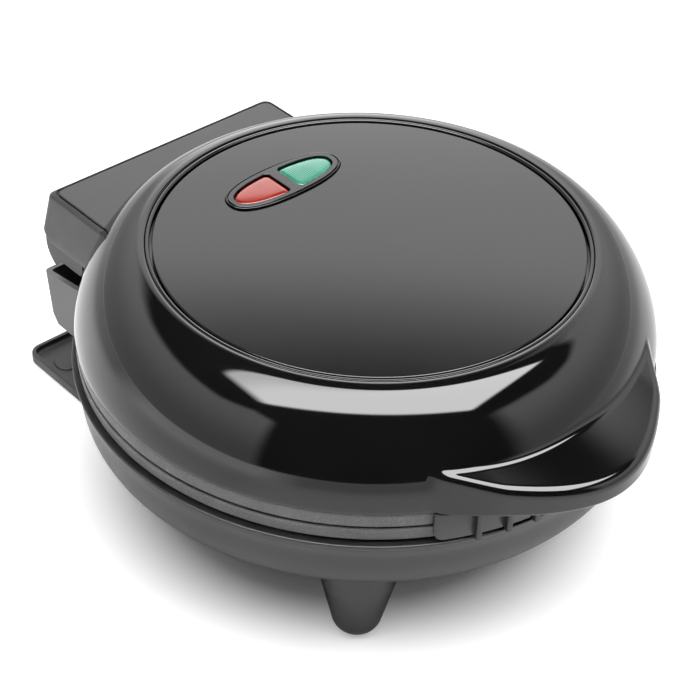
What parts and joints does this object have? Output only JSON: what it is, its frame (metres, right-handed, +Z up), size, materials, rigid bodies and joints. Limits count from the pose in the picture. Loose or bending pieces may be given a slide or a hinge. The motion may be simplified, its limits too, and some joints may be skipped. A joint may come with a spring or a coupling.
{
  "type": "omelette maker",
  "caption": "Round countertop omelette cooker: a domed lid with a crescent handle, hinged at the rear over a footed base, with half-moon pockets between.",
  "frame": {"origin": "centre of the bounding box in plan, on the surface that the feet stand on", "axes": "+X to the right seen from the handle, +Y towards the hinge at the rear, +Z up"},
  "size_m": [0.1998, 0.2414, 0.1009],
  "materials": {
    "gloss_black": "high gloss moulded lid",
    "panel_black": "polished flat panel",
    "satin_black": "satin moulded plastic",
    "bezel_black": "gloss moulded bezel",
    "coated_plate": "die-cast aluminium with a dark non-stick coat",
    "element_sheath": "heat-darkened tubular element sheath",
    "reflector_sheet": "pressed bright sheet",
    "steel": "zinc-plated steel",
    "ceramic": "unglazed ceramic",
    "glass_sleeve": "woven glass sleeving",
    "rubber": "moulded rubber",
    "red_lens": "clear red lens",
    "green_lens": "clear green lens",
    "lamp_glass": "neon indicator glass",
    "lead_insulation": "heat-resistant insulation"
  },
  "bodies": {
    "base": {"base_shell": "satin_black", "hinge_housing": "satin_black", "cord_wrap_plate": "satin_black", "cord_inlet_bush": "rubber", "lower_plate": "coated_plate", "lower_heating_element": "element_sheath", "lower_reflector": "reflector_sheet", "thermostat": "ceramic", "thermal_fuse": "glass_sleeve", "terminal_block": "ceramic", "supply_cord_inner": "rubber", "base_lead_sleeve": "glass_sleeve", "hinge_pin_left": "steel", "rear_pad_left": "rubber", "wrap_plate_screw_left": "steel", "housing_screw_left": "steel", "lower_lead_left": "lead_insulation", "front_foot_left": "satin_black", "foot_screw_left": "steel", "hinge_pin_right": "steel", "rear_pad_right": "rubber", "wrap_plate_screw_right": "steel", "housing_screw_right": "steel", "lower_lead_right": "lead_insulation", "front_foot_right": "satin_black", "foot_screw_right": "steel", "base_screw_1": "steel", "base_screw_2": "steel", "base_screw_3": "steel"},
    "lid": {"lid_shell": "gloss_black", "lid_panel": "panel_black", "light_bezel": "bezel_black", "lamp_holder": "satin_black", "upper_plate": "coated_plate", "upper_heating_element": "element_sheath", "upper_reflector": "reflector_sheet", "lid_hinge_cover": "satin_black", "handle_skirt": "satin_black", "lid_lead_sleeve": "glass_sleeve", "red_lens": "red_lens", "green_lens": "green_lens", "power_lamp": "lamp_glass", "ready_lamp": "lamp_glass", "cover_screw_left": "steel", "upper_lead_left": "lead_insulation", "cover_screw_right": "steel", "upper_lead_right": "lead_insulation", "lid_screw_1": "steel", "lid_screw_2": "steel", "lid_screw_3": "steel"}
  },
  "joints": [
    {"name": "lid_hinge", "type": "hinge", "parent": "base", "child": "lid", "pos_m": [0, 0.10215, 0.058], "axis": [-1, 0, 0], "range_deg": [0, 98]}
  ]
}
